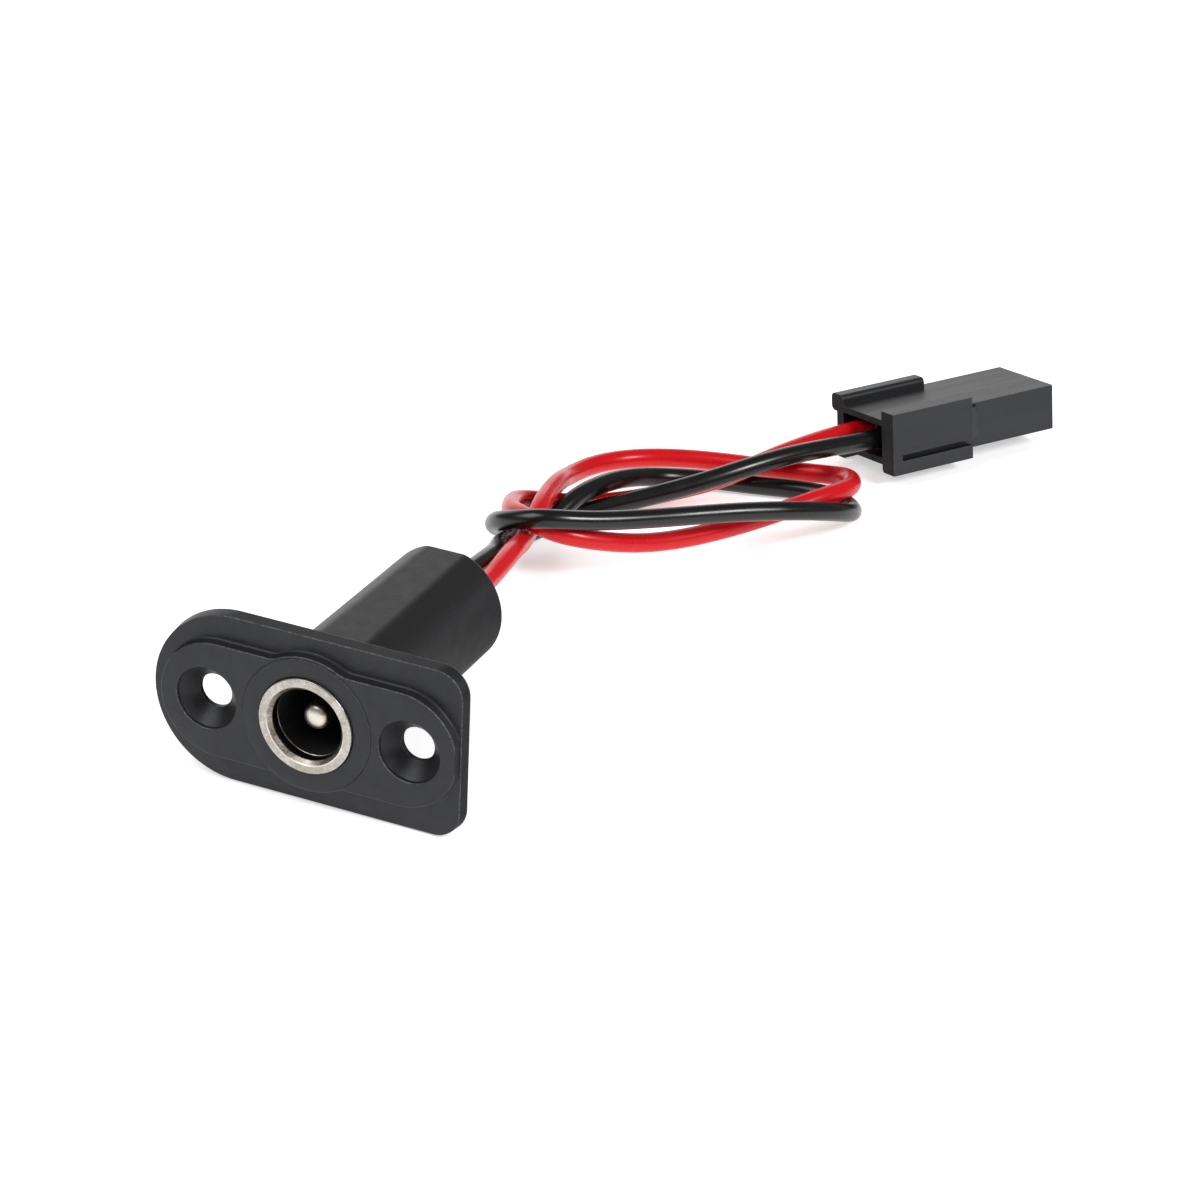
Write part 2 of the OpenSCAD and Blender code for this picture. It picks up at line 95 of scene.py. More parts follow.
# Roughness of a fully dull face, and the cool tint of a moulding's sheen
DULL_ROUGHNESS = 0.95
COOL_SHEEN = (0.94, 0.955, 1.0, 1.0)
# Range that most of a cloudy pattern lies in
CLOUDS = (0.3, 0.7)

MOUNTS = {mount["name"]: mount for mount in frame["record"]["mounts"]}
HOUSING_LOW, HOUSING_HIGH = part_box("flange_housing")
SHELL_LOW, SHELL_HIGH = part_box("jack_shell")
LINER_LOW, LINER_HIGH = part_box("jack_insulator")
PIN_LOW, PIN_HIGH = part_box("centre_pin")
SEAL_LOW, SEAL_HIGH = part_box("rear_seal")
SPRING_LOW, SPRING_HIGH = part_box("contact_spring")
WIRE_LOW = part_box("red_wire")[0]


def length(description, millimetres):
    return FloatProperty(description=description, default=millimetres * MM, min=0.0, precision=5,
                         unit="LENGTH")


def colour(description, default):
    return FloatVectorProperty(description=description, default=default, size=3, min=0.0, max=1.0,
                               subtype="COLOR")


def angle(description, degrees):
    return FloatProperty(description=description, default=radians(degrees), subtype="ANGLE")


class HousingSettings(bpy.types.PropertyGroup):
    """Sizes and colour of the flange moulding"""
    plate: length("Thickness of the flange plate", 1.2)
    corner: length("Corner radius at the square end", 2.4)
    pad_height: length("Height of the raised pad at its ends", 9.7)
    pad_rise: length("Rise of the pad above the plate", 0.85)
    pad_end_wall: length("Pad left beyond the rim of a countersink", 1.4)
    blend: length("Radius of the hollow blends beside the boss", 2)
    foot: length("Fillet at the pad's foot", 0.2)
    boss: length("Radius of the boss around the ring", 5.52)
    boss_ledge: length("Ledge of the pad left around the boss", 0.18)
    boss_groove: length("Width of the fine groove around the boss", 0.03)
    sink: length("Radius of a countersink at its rim", 2.6)
    sink_lip: length("Straight lip above a countersink's cone", 0.35)
    barrel: length("Radius of the barrel at the flange", 5.3)
    flat: length("Distance of the barrel's flats from its axis", 4.87)
    flat_edge: length("Rounding between the flats and the barrel's sides", 1.5)
    draft: angle("Draft of the barrel", 0.4)
    tail_edge: length("Rounding of the barrel's tail edge", 0.3)
    front_bore: length("Radius of the bore around the ring", 4.02)
    shoulder: length("Depth of the jack's stop behind the seat", 1)
    edge: length("Rounding of the flange's edges", 0.12)
    boss_edge: length("Rounding of the boss's outer edge", 0.04)
    bore_edge: length("Rounding of the boss around the ring", 0.1)
    rim_draft: angle("Draft of the plate's rim and of the pad's wall", 6)
    colour: colour("Black moulding", (0.0078, 0.008, 0.0085))
    # Colour of the pale painted highlight along the outer edges
    worn: colour("Pale rub along the outer edges", (0.13, 0.13, 0.135))


class JackSettings(bpy.types.PropertyGroup):
    """Sizes and colours of the jack in the barrel"""
    ring: length("Outer radius of the bright ring", 4)
    mouth: length("Radius of the ring's mouth at its face", 3.3)
    bevel: length("Depth of the bevel inside the mouth", 0.4)
    shell_bore: length("Inner radius of the shell around the liner", 3.45)
    socket: length("Radius of the socket", 2.95)
    fit: length("Clearance between fitted pieces", 0.02)
    floor: length("Thickness of the socket's floor", 1.6)
    liner_set: length("Set-back of the liner's front edge in the ring", 0.25)
    dome: length("Height of the dome on the pin's tip", 0.5)
    root: length("Radius of the pin's root in the floor", 0.8)
    collar: length("Thickness of the pin's collar", 0.6)
    tail: length("Radius of the pin's solder tail", 0.5)
    edge: length("Rounding of the ring's outer edge", 0.1)
    bead: length("Stand of the bright bead where the ring meets the liner", 0.05)
    ring_colour: colour("Nickel plate of the ring", (0.45, 0.415, 0.375))
    pin_colour: colour("Nickel plate of the pin", (0.68, 0.64, 0.58))
    liner_colour: colour("Black liner of the socket", (0.016, 0.016, 0.016))


class WireSettings(bpy.types.PropertyGroup):
    """Sizes and colours of the two leads"""
    diameter: length("Diameter over the insulation", 1.7)
    spacing: length("Distance between the wires at the tail", 2)
    lead: length("Straight length behind the barrel's tail", 3)
    red: colour("Insulation of the red wire", (0.6, 0.0045, 0.009))
    black: colour("Insulation of the black wire", (0.004, 0.004, 0.0044))


class ConnectorSettings(bpy.types.PropertyGroup):
    """Sizes and colours of the connector"""
    length: length("Length of the connector", 18.7)
    body: length("Length of the rear body with the side walls", 8.9)
    width: length("Width of the nose", 8)
    height: length("Height of the nose", 4.2)
    wall_stand: length("Stand of the near wall above the nose", 0.85)
    near_drop: length("Drop of the near wall below the nose", 0.75)
    far_drop: length("Drop of the far wall below the nose", 0.8)
    wall_side: length("Stand of the walls beside the nose", 0.8)
    wall_edge: length("Rounding of the near wall's lower inner edge", 0.35)
    ramp: length("Length of the ramp from the near wall down to the nose", 1.2)
    ramp_drop: length("Drop of the ramp's top below the nose's top", 0.25)
    cavity_width: length("Width of the open rear cavity", 6)
    cavity_height: length("Height of the open rear cavity", 3)
    cavity_depth: length("Depth of the open rear cavity", 7.6)
    rib: length("Thickness of the rib that parts the cavity", 0.55)
    rib_set: length("Set-back of the rib from the cavity's mouth", 1.5)
    slot_height: length("Height of the slot in the near wall", 0.6)
    slot_depth: length("Depth of the slot in the near wall", 0.75)
    slot_stop: length("Wall left closed behind the slot", 1)
    bar: length("Height of the bar below the slot", 1.25)
    rail: length("Height of the far rail", 1.65)
    rail_length: length("Length of the far rail", 9.2)
    rail_stand: length("Stand of the far rail above the nose", 0.95)
    rail_round: length("Rounding of the far rail", 0.45)
    spacing: length("Distance between the two contacts", 3.4)
    channel: length("Width of a contact's channel", 2.4)
    roll: angle("Lean of the connector as it lies", -9.4)
    edge: length("Rounding of the edges", 0.12)
    colour: colour("Black moulding", (0.0095, 0.0098, 0.0104))
    # Colour of the pale painted highlight along the outer edges
    worn: colour("Pale rub along the outer edges", (0.2, 0.2, 0.205))
    metal: colour("Tinned sheet of the contacts", (0.62, 0.58, 0.5))


class StageSettings(bpy.types.PropertyGroup):
    """Camera, floor and light around the port"""
    azimuth: angle("Turn of the camera round the port", 23.71)
    elevation: angle("Height of the camera above the horizon", 26.95)
    roll: angle("Roll of the camera", 2.64)
    distance: length("Distance from the camera to its aim", 303.9)
    floor: colour("Pale floor", (0.92, 0.92, 0.92))


# Points drawn on a plane square to the jack's axis

def line_to(bm, pen, x, z):
    """Draws a straight edge and gives the new end."""
    pen = bmesh.ops.extrude_vert_indiv(bm, verts=[pen])["verts"][0]
    pen.co = (x, pen.co.y, z)
    return pen


def arc(bm, pen, x, z, turn, steps=0):
    """Draws an arc about a centre, anticlockwise from the front, and gives the new end."""
    steps = steps or max(2, ceil(abs(turn) / OUTLINE_STEP))
    spun = bmesh.ops.spin(bm, geom=[pen], cent=(x, pen.co.y, z), axis=(0, -1, 0),
                          angle=turn, steps=steps)
    return spun["geom_last"][0]


def outline(bm, draw, *sizes):
    """Edges of one closed outline, made by a drawing function."""
    known = set(bm.edges)
    draw(bm, *sizes)
    drawn = {vert for edge in bm.edges if edge not in known for vert in edge.verts}
    bmesh.ops.remove_doubles(bm, verts=list(drawn), dist=MERGE)
    return [edge for edge in bm.edges if edge not in known]


def skin(bm, outlines):
    """Walls from each outline to the next."""
    for first, second in zip(outlines, outlines[1:]):
        bmesh.ops.bridge_loops(bm, edges=first + second)


def close_plane(bm, y):
    """Fills what lies open on one plane, around its holes."""
    rims = [edge for edge in bm.edges
            if edge.is_boundary and all(abs(vert.co.y - y) < MERGE for vert in edge.verts)]
    bmesh.ops.triangle_fill(bm, use_beauty=True, edges=rims)


def rounded(corners, closed=False):
    """A line through corners of (across, along, rounding), each rounding swept as an arc."""
    line = []
    for i, (across, along, rounding) in enumerate(corners):
        here = Vector((across, along))
        inner = closed or 0 < i < len(corners) - 1
        if not rounding or not inner:
            line.append(here)
            continue
        before = (Vector(corners[i - 1][:2]) - here).normalized()
        after = (Vector(corners[(i + 1) % len(corners)][:2]) - here).normalized()
        half = before.angle(after) / 2
        middle = here + (before + after).normalized() * rounding / sin(half)
        first = here + before * rounding / tan(half) - middle
        last = here + after * rounding / tan(half) - middle
        sweep = atan2(first.x * last.y - first.y * last.x, first.dot(last))
        steps = max(1, ceil(abs(sweep) / ARC_STEP))
        line += [middle + Matrix.Rotation(sweep * k / steps, 2) @ first for k in range(steps + 1)]
    return line


def turned(bm, line, x=0.0, closed=False):
    """A surface of revolution about the jack's axis, or about one beside it."""
    verts = [bm.verts.new((x + point[0], point[1], 0)) for point in line]
    pairs = list(zip(verts, verts[1:]))
    if closed:
        pairs.append((verts[-1], verts[0]))
    edges = [bm.edges.new(pair) for pair in pairs]
    bmesh.ops.spin(bm, geom=verts + edges, cent=(x, 0, 0), axis=(0, 1, 0), angle=2 * pi,
                   steps=ROUND_STEPS, use_merge=True)


def block(low, high):
    """A box between two corners."""
    bm = bmesh.new()
    low, high = Vector(low), Vector(high)
    bmesh.ops.create_cube(bm, size=1.0)
    bmesh.ops.scale(bm, vec=high - low, verts=bm.verts)
    bmesh.ops.translate(bm, vec=(low + high) / 2, verts=bm.verts)
    return bm


def put(name, data):
    """A new object in the scene."""
    shape = bpy.data.objects.new(name, data)
    bpy.context.scene.collection.objects.link(shape)
    return shape


def put_mesh(name, bm):
    """A new object in the scene, made from a bmesh."""
    mesh = bpy.data.meshes.new(name)
    bm.to_mesh(mesh)
    bm.free()
    return put(name, mesh)


def helper(name, bm):
    """A passing object that is joined to a piece or cut from it."""
    bmesh.ops.recalc_face_normals(bm, faces=bm.faces)
    return put_mesh(name, bm)


def combine(base, tool, operation):
    """Joins a helper to a shape or cuts it away, and removes the helper."""
    step = base.modifiers.new(operation, "BOOLEAN")
    step.operation = operation
    step.solver = "EXACT"
    step.object = tool
    depsgraph = bpy.context.evaluated_depsgraph_get()
    mesh = bpy.data.meshes.new_from_object(base.evaluated_get(depsgraph))
    base.modifiers.remove(step)
    base.data = mesh
    bpy.data.objects.remove(tool)


def reopened(shape):
    """The bmesh of a helper, which is removed."""
    bm = bmesh.new()
    bm.from_mesh(shape.data)
    bpy.data.objects.remove(shape)
    return bm


def round_edges(bm, edges, offset, segments):
    bmesh.ops.bevel(bm, geom=edges, offset=offset, offset_type="OFFSET", segments=segments,
                    profile=0.5, affect="EDGES", clamp_overlap=True, material=-1)


def soften(bm, offset, segments=3):
    """Rounds every edge that isn't nearly flat."""
    bmesh.ops.dissolve_limit(bm, angle_limit=NEARLY_FLAT, verts=bm.verts, edges=bm.edges)
    hard = [edge for edge in bm.edges
            if len(edge.link_faces) == 2 and edge.calc_face_angle() > HARD_EDGE]
    round_edges(bm, hard, offset, segments)


def clean_up(bm):
    bmesh.ops.remove_doubles(bm, verts=bm.verts, dist=MERGE)
    bmesh.ops.dissolve_degenerate(bm, edges=bm.edges, dist=MERGE / 10)
    bmesh.ops.recalc_face_normals(bm, faces=bm.faces)
    bm.normal_update()


def mark_painted_highlight(bm, least, everywhere):
    """Marks the middle of narrow rounded edges for a painted highlight, strongest where they face
    up or to the right, where the light falls.
    """
    clean_up(bm)
    painted_highlight = bm.verts.layers.float.new(HIGHLIGHT_SHARE)
    for edge in bm.edges:
        widest = max(face.calc_area() for face in edge.link_faces) / edge.calc_length()
        if widest < NARROW and edge.calc_face_angle_signed(0.0) > least:
            for vert in edge.verts:
                # Painted highlight share, largest where the edge faces the light from above and the
                # right
                vert[painted_highlight] = max(everywhere, vert.normal.dot(LIT_SIDE))


def mark_dull(bm, way):
    """Marks the faces that look one way, which a moulding keeps dull."""
    dull = bm.verts.layers.float.new(DULL)
    for vert in bm.verts:
        share = (vert.normal.dot(way) - DULL_FROM) / (DULL_FULL - DULL_FROM)
        vert[dull] = min(1.0, max(0.0, share))


def finish_piece(name, bm, material, slot, *nodes):
    """Makes a finished piece that stands for its CAD nodes."""
    clean_up(bm)
    piece = put_mesh(name, bm)
    piece.data.shade_smooth()
    piece.data.set_sharp_from_angle(angle=SHARP_ANGLE)
    piece.data.materials.append(material)
    evened = piece.modifiers.new("Even faces", "WEIGHTED_NORMAL")
    evened.keep_sharp = True
    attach(piece, BODY)
    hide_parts(*nodes)
    return piece


# Finishes

class Finish:
    """One procedural material and the nodes that it is made of"""

    def __init__(self, name, base, roughness, metallic=0.0, specular=0.5):
        self.material = bpy.data.materials.new(name)
        self.material.use_nodes = True
        self.tree = self.material.node_tree
        self.shader = self.tree.nodes["Principled BSDF"]
        self.set("Base Color", (*base, 1))
        self.set("Roughness", roughness)
        self.set("Metallic", metallic)
        self.set("Specular IOR Level", specular)
        self.place = self.node("TexCoord", {}).outputs["Object"]
        self.last_normal = None

    def feed(self, socket, value):
        """Sets a socket to a constant, or links it to the output of a node."""
        if isinstance(value, bpy.types.NodeSocket):
            self.tree.links.new(value, socket)
        else:
            socket.default_value = value

    def set(self, socket, value):
        self.feed(self.shader.inputs[socket], value)

    def node(self, kind, sockets, **choices):
        """A new node with its choices made and its sockets fed."""
        node = self.tree.nodes.new("ShaderNode" + kind)
        for name, value in choices.items():
            setattr(node, name, value)
        for socket, value in sockets.items():
            self.feed(node.inputs[socket], value)
        return node

    def noise(self, size, detail=3.0, roughness=0.55, stretch=(1, 1, 1), turn=0.0):
        """Cloudy pattern of about this size, drawn out along turned axes."""
        mapping = self.node("Mapping", {
            "Vector": self.place, "Scale": stretch, "Rotation": (0, 0, turn)
        }, vector_type="TEXTURE")
        return self.node("TexNoise", {
            "Vector": mapping.outputs["Vector"], "Scale": 1 / size, "Detail": detail,
            "Roughness": roughness
        }).outputs["Fac"]

    def ranged(self, value, low, high, to_low, to_high):
        """A value moved from one range to another."""
        return self.node("MapRange", {
            "Value": value, "From Min": low, "From Max": high, "To Min": to_low, "To Max": to_high
        }).outputs["Result"]

    def maths(self, operation, first, second):
        return self.node("Math", {0: first, 1: second}, operation=operation).outputs["Value"]

    def mixed(self, share, first, second):
        """A colour between two, by a share from 0 to 1."""
        first, second = (value if isinstance(value, bpy.types.NodeSocket) else (*value, 1)
                         for value in (first, second))
        sockets = {"Factor": share, 6: first, 7: second}
        return self.node("Mix", sockets, data_type="RGBA").outputs[2]

    def bump(self, height, distance, strength=1.0):
        """Fine relief of this depth, on top of any before it."""
        sockets = {"Height": height, "Distance": distance, "Strength": strength}
        if self.last_normal:
            sockets["Normal"] = self.last_normal
        self.last_normal = self.node("Bump", sockets).outputs["Normal"]
        self.set("Normal", self.last_normal)

    def coordinates(self):
        """The coordinates X, Y and Z of a point."""
        return self.node("SeparateXYZ", {"Vector": self.place}).outputs

    def axis_distance(self):
        """Distance from the jack's axis."""
        parts = self.coordinates()
        flat = self.node("CombineXYZ", {axis: parts[axis] for axis in "XZ"}).outputs["Vector"]
        return self.node("VectorMath", {0: flat}, operation="LENGTH").outputs["Value"]

    def attribute(self, name):
        """A share kept at each point of the piece."""
        return self.node("Attribute", {}, attribute_name=name).outputs["Fac"]

    def cloud_colour(self, base, darker, lighter, *pattern):
        """Clouds the colour between two shades of its base, by a noise pattern."""
        clouds = self.mixed(self.noise(*pattern), shaded(base, darker), shaded(base, lighter))
        self.set("Base Color", clouds)

    def cloud_roughness(self, low, high, *pattern):
        """Clouds the roughness between two values, by a noise pattern."""
        self.set("Roughness", self.ranged(self.noise(*pattern), *CLOUDS, low, high))


def shaded(base, factor):
    return tuple(min(1.0, part * factor) for part in base)


def tinted(base, *factors):
    return tuple(part * factor for part, factor in zip(base, factors))


def moulded_plastic(name, base, worn, roughness, specular, flow=(1, 1, 1), turn=0.0):
    """Black satin moulding with a fine grain, faint flow clouds and pale painted highlights along
    its narrow edges.
    """
    finish = Finish(name, base, roughness, specular=specular)
    finish.set("Specular Tint", COOL_SHEEN)
    streaks = finish.noise(1.2 * MM, 4.0, 0.6, flow, turn)
    clouds = finish.mixed(streaks, shaded(base, 0.6), shaded(base, 1.5))
    # Pale painted highlight on narrow edges, broken into patches
    patches = finish.ranged(finish.noise(0.25 * MM, 5.0, 0.7), 0.4, 0.66, 0.15, 1)
    highlighted = finish.maths("MULTIPLY", finish.attribute(HIGHLIGHT_SHARE), patches)
    finish.set("Base Color", finish.mixed(highlighted, clouds, worn))
    satin = finish.ranged(streaks, *CLOUDS, roughness + 0.03, roughness - 0.03)
    dulled = finish.maths("MULTIPLY", finish.attribute(DULL), DULL_ROUGHNESS - roughness)
    finish.set("Roughness", finish.maths("ADD", satin, dulled))
    finish.bump(finish.noise(0.16 * MM, 4.0, 0.6), 0.02 * MM, 0.7)
    return finish.material


def ring_nickel(base, mouth, lip):
    """Dull nickel plate with turning marks, tarnished on its bevel, with a painted highlight along
    the lower mouth edge and painted shade inside its lip.
    """
    finish = Finish("Ring nickel", base, 0.32, metallic=1.0)
    radius = finish.axis_distance()
    spots = finish.ranged(finish.noise(0.22 * MM, 5.0, 0.7), 0.46, 0.62, 0.45, 1)
    inside = finish.ranged(radius, mouth + 0.02 * MM, mouth - 0.06 * MM, 0.1, 0.8)
    tarnish = finish.maths("MULTIPLY", spots, inside)
    silver = tinted(base, 1.3, 1.36, 1.42)
    blotches = finish.ranged(finish.noise(1.6 * MM, 6.0, 0.7), 0.4, 0.6, 0, 1)
    speckle = finish.ranged(finish.noise(0.26 * MM, 5.0, 0.7), 0.4, 0.62, 0, 0.6)
    blotched = finish.mixed(blotches, shaded(base, 0.9), silver)
    plate = finish.mixed(speckle, blotched, shaded(base, 0.66))
    # Painted highlight: a bright line along the mouth's edge, on its lower part only
    outside_edge = finish.ranged(radius, mouth + 0.09 * MM, mouth + 0.04 * MM, 0, 1)
    inside_edge = finish.ranged(radius, mouth - 0.05 * MM, mouth - 0.01 * MM, 0, 1)
    above = finish.ranged(finish.coordinates()["Z"], -1.2 * MM, 0.2 * MM, 0.1, 1)
    below = finish.maths("SUBTRACT", 1.0, above)
    edge = finish.maths("MULTIPLY", below, finish.maths("MULTIPLY", outside_edge, inside_edge))
    brown = tinted(base, 0.34, 0.26, 0.17)
    # Painted shade: near black on the lip's inner wall, and on the bead's upper part, fading toward
    # its bottom
    before_lip = finish.ranged(radius, lip + 0.05 * MM, lip + 0.02 * MM, 0, 1)
    behind_bead = finish.ranged(radius, lip - 0.02 * MM, lip - 0.005 * MM, 0, 1)
    painted_shade = finish.maths("MULTIPLY", before_lip, finish.maths("MAXIMUM", behind_bead, above))
    bright = finish.mixed(edge, finish.mixed(tarnish, plate, brown), shaded(base, 1.7))
    finish.set("Base Color", finish.mixed(painted_shade, bright, shaded(base, 0.1)))
    finish.cloud_roughness(0.24, 0.5, 0.12 * MM)
    marks = finish.node("TexNoise", {"W": radius, "Scale": 1 / (0.05 * MM)}, noise_dimensions="1D")
    finish.bump(marks.outputs["Fac"], 0.006 * MM, 0.5)
    finish.bump(finish.noise(0.2 * MM, 4.0, 0.6), 0.03 * MM, 0.6)
    return finish.material


def pin_nickel(base):
    """Bright nickel plate with a few faint rubs, tarnished round its rim."""
    finish = Finish("Pin nickel", base, 0.3, metallic=1.0)
    rim = finish.ranged(finish.axis_distance(), 0.65 * MM, 1.0 * MM, 0, 1)
    spots = finish.ranged(finish.noise(0.4 * MM, 4.0), 0.4, 0.6, 0.2, 1)
    tarnish = finish.maths("MULTIPLY", rim, spots)
    brown = tinted(base, 0.6, 0.48, 0.34)
    plate = finish.mixed(finish.noise(0.3 * MM, 4.0, 0.7), shaded(base, 0.75), shaded(base, 1.15))
    finish.set("Base Color", finish.mixed(tarnish, plate, brown))
    finish.cloud_roughness(0.26, 0.42, 0.16 * MM)
    finish.bump(finish.noise(0.1 * MM, 3.0, 0.5, (1, 5, 1)), 0.003 * MM, 0.5)
    return finish.material


def socket_black(base):
    """Smooth black liner."""
    finish = Finish("Socket black", base, 0.45)
    finish.cloud_colour(base, 0.7, 1.4, 1.2 * MM)
    finish.cloud_roughness(0.42, 0.5, 0.3 * MM)
    finish.bump(finish.noise(0.15 * MM), 0.003 * MM, 0.4)
    return finish.material


def seal_compound():
    """Cast black compound, slightly wavy where it set."""
    finish = Finish("Seal compound", (0.012, 0.012, 0.012), 0.42)
    finish.set("Base Color", finish.mixed(finish.noise(1.5 * MM), (0.008,) * 3, (0.018,) * 3))
    finish.cloud_roughness(0.34, 0.5, 0.5 * MM)
    finish.bump(finish.noise(1.1 * MM, 2.0), 0.12 * MM, 0.6)
    return finish.material


def insulation(name, base, roughness, specular):
    """Smooth extruded insulation, faintly clouded."""
    finish = Finish(name, base, roughness, specular=specular)
    finish.cloud_colour(base, 0.86, 1.12, 1.8 * MM, 4.0)
    finish.cloud_roughness(roughness - 0.03, roughness + 0.06, 2.4 * MM, 2.0)
    return finish.material


def sheet_metal(name, base, roughness):
    """Rolled contact sheet with faint rolling lines."""
    finish = Finish(name, base, roughness, metallic=1.0)
    finish.cloud_colour(base, 0.82, 1.1, 0.6 * MM, 4.0)
    finish.cloud_roughness(roughness - 0.06, roughness + 0.08, 0.2 * MM)
    finish.bump(finish.noise(0.07 * MM, 3.0, 0.5, (1, 10, 1)), 0.004 * MM, 0.5)
    return finish.material


def dull_solder():
    """Grey solder with a grainy skin."""
    finish = Finish("Dull solder", (0.5, 0.5, 0.48), 0.45, metallic=1.0)
    grain = finish.noise(0.3 * MM)
    finish.set("Base Color", finish.mixed(grain, (0.4, 0.4, 0.39), (0.58, 0.58, 0.56)))
    finish.bump(finish.noise(0.2 * MM), 0.02 * MM, 0.5)
    return finish.material


# Places along the two leads

def connector_place():
    """Where the connector lies: its rear end, with its length along X."""
    plug = bpy.context.scene.port_connector
    mouth = MOUNTS["connector_mouth"]
    ahead = Vector(mouth["axis"]).normalized()
    turn = Matrix.Rotation(atan2(ahead.y, ahead.x), 4, "Z") @ Matrix.Rotation(plug.roll, 4, "X")
    rear = Vector(mouth["pos_m"]) - turn @ Vector((plug.length, 0, plug.height / 2))
    return Matrix.Translation(rear) @ turn


# Route of each lead between the barrel's tail and the connector, in millimetres
RED_ROUTE = (
    (0.5, 28, -1), (0, 34, -0.5), (-2, 39.5, -3), (-3.25, 43.5, -4), (-3.75, 47, -3),
    (-4.75, 50.5, -3.5), (-5.5, 54.5, -4), (-6.75, 59, -5.75), (-6.25, 63, -6),
    (-4, 66.5, -6.25), (-0.75, 68.5, -6.25), (3.5, 70, -6.25), (8.75, 71, -6.25),
    (12.25, 72, -6.25), (15.5, 71.25, -5.5), (17, 68.5, -4.5), (17.75, 66, -4),
    (16.25, 62.5, -3.75), (12.5, 57.5, -4.75), (9, 52.25, -5), (5.75, 47.25, -4.5),
    (2.25, 42.5, -2.75), (-0.5, 41.25, -2), (-3, 42, -1.5), (-5.25, 44.25, -2.5),
    (-6.75, 47.5, -3.75), (-7.75, 50.25, -4.5), (-7.25, 53.25, -5.75), (-4.5, 55, -6.25),
    (-0.5, 57.75, -6.25), (3, 61.25, -5.75), (6.5, 64.5, -5), (9, 68.5, -4),
    (11.25, 73, -3.75),
)
BLACK_ROUTE = (
    (-1.75, 28, -0.75), (-1.75, 34.5, -1.5), (-4, 39.5, -3.5), (-5, 42.5, -4.75), (-5, 46, -5.5),
    (-4, 49, -6), (-3, 52.25, -4), (-2, 57, -4.25), (-1, 60.5, -5), (0.25, 63.75, -6),
    (4.25, 66, -6.25), (8, 66.75, -6.25), (12.75, 68.25, -6.25), (16, 68.25, -6.25),
    (18.25, 66.25, -6.25), (18.75, 63.25, -5), (18, 60.25, -3.75), (15.75, 56.75, -2.75),
    (12.25, 53.25, -2.25), (8.5, 49.5, -2), (5.75, 46, -1.5), (2.5, 42.5, -1),
    (-0.25, 40, -0.25), (-3.5, 40, -1.25), (-5.5, 41.75, -2.5), (-6.75, 44, -4.25),
    (-6.75, 47.25, -6), (-5.75, 51.75, -6.25), (-2.5, 54.25, -6.25), (1, 56.75, -5.25),
    (5, 60, -4.25), (8, 62.75, -3.25), (11, 67, -2.75), (13.25, 70.75, -3),
)
# Places of a lead along the connector: before its mouth, inside it and in the crimp
CONNECTOR_STEPS = (-1 * MM, 2.5 * MM, 6.4 * MM)
# Roundness of a lead's tube, and its steps from one point of the route to the next
TUBE_ROUNDNESS = 14
TUBE_STEPS = 16


def lay_wire(name, side, route, material):
    """One lead as a smooth curve from the tail, along its route, into the connector."""
    wire, plug = bpy.context.scene.port_wires, bpy.context.scene.port_connector
    tail = HOUSING_HIGH.y
    points = [Vector((side * wire.spacing / 2, y, 0))
              for y in (WIRE_LOW.y, tail, tail + wire.lead)]
    points += [Vector(point) * MM for point in route]
    place = connector_place()
    points += [place @ Vector((step, side * plug.spacing / 2, plug.height / 2))
               for step in CONNECTOR_STEPS]
    curve = bpy.data.curves.new(name, "CURVE")
    curve.dimensions = "3D"
    curve.bevel_depth = wire.diameter / 2
    curve.bevel_resolution = TUBE_ROUNDNESS
    curve.use_fill_caps = True
    spline = curve.splines.new("NURBS")
    spline.points.add(len(points) - 1)
    for knot, point in zip(spline.points, points):
        knot.co = (*point, 1)
    spline.order_u = 4
    spline.use_endpoint_u = True
    spline.resolution_u = TUBE_STEPS
    curve.materials.append(material)
    lead = put(name, curve)
    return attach(lead, BODY)


